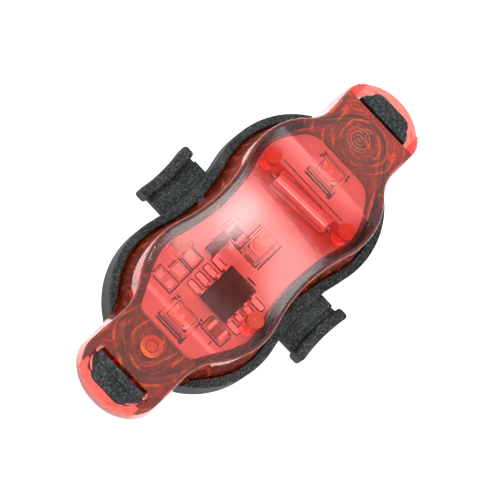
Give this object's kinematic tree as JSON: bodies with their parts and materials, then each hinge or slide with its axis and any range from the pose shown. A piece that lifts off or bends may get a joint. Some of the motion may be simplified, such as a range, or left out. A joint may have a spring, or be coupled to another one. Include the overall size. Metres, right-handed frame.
{
  "type": "bicycle spoke wheel light",
  "caption": "Small two-lobed wheel light: black tray with strap hooks, clear red cover held by end latches, and a board with LEDs and a motion switch over button cells.",
  "frame": {"origin": "middle of the back face, which lies against the spokes", "axes": "+X along the length, +Y across towards one strap hook, +Z out through the red cover"},
  "size_m": [0.0488, 0.0258, 0.0118],
  "materials": {
    "base_black": "coarse moulded texture on the upper faces, smoother sides",
    "cover_red": "clear red, polished",
    "seal_rubber": "soft matt rubber",
    "board_white": "satin white board lacquer",
    "led_white": "smooth white moulding",
    "led_resin": "clear yellowish resin",
    "tinned": "tin plated",
    "chip_black": "matt moulded epoxy",
    "capacitor_brown": "sintered ceramic",
    "switch_metal": "bright nickel plate",
    "plug_red": "moulded plug",
    "cradle_red": "red moulding",
    "gasket_green": "moulded gasket",
    "cell_steel": "polished nickel plated steel",
    "contact_bronze": "spring bronze, tin flashed"
  },
  "bodies": {
    "housing": {"base_tray": "base_black", "capacitor_body": "capacitor_brown", "capacitor_ends": "tinned", "cell_far_can": "cell_steel", "cell_far_cap": "cell_steel", "cell_far_gasket": "gasket_green", "cell_link": "contact_bronze", "cell_near_can": "cell_steel", "cell_near_cap": "cell_steel", "cell_near_gasket": "gasket_green", "circuit_board": "board_white", "contact_far": "contact_bronze", "contact_near": "contact_bronze", "controller_body": "chip_black", "controller_leads": "tinned", "led_far_housing": "led_white", "led_far_resin": "led_resin", "led_far_terminals": "tinned", "led_middle_housing": "led_white", "led_middle_resin": "led_resin", "led_middle_terminals": "tinned", "led_near_housing": "led_white", "led_near_resin": "led_resin", "led_near_terminals": "tinned", "lens_cover": "cover_red", "resistor_body": "chip_black", "resistor_ends": "tinned", "seal_ring": "seal_rubber", "solder_joints": "tinned", "switch_can": "switch_metal", "switch_cradle": "cradle_red", "switch_leads": "tinned", "switch_plug": "plug_red", "transistor_body": "chip_black", "transistor_leads": "tinned"},
    "near_latch": {"latch_near": "base_black"},
    "far_latch": {"latch_far": "base_black"},
    "tilt_ball": {"switch_ball": "switch_metal"}
  },
  "joints": [
    {"name": "near_latch_press", "type": "hinge", "parent": "housing", "child": "near_latch", "pos_m": [-0.02, 0, 0.0021], "axis": [0, 1, 0], "range_deg": [0, 4], "stiffness_Nm_per_rad": 0.01},
    {"name": "far_latch_press", "type": "hinge", "parent": "housing", "child": "far_latch", "pos_m": [0.02, 0, 0.0021], "axis": [0, -1, 0], "range_deg": [0, 4], "stiffness_Nm_per_rad": 0.01},
    {"name": "tilt_ball_roll", "type": "slide", "parent": "housing", "child": "tilt_ball", "axis": [-0.0523, 0.9986, 0], "range_m": [0, 0.0047]}
  ]
}
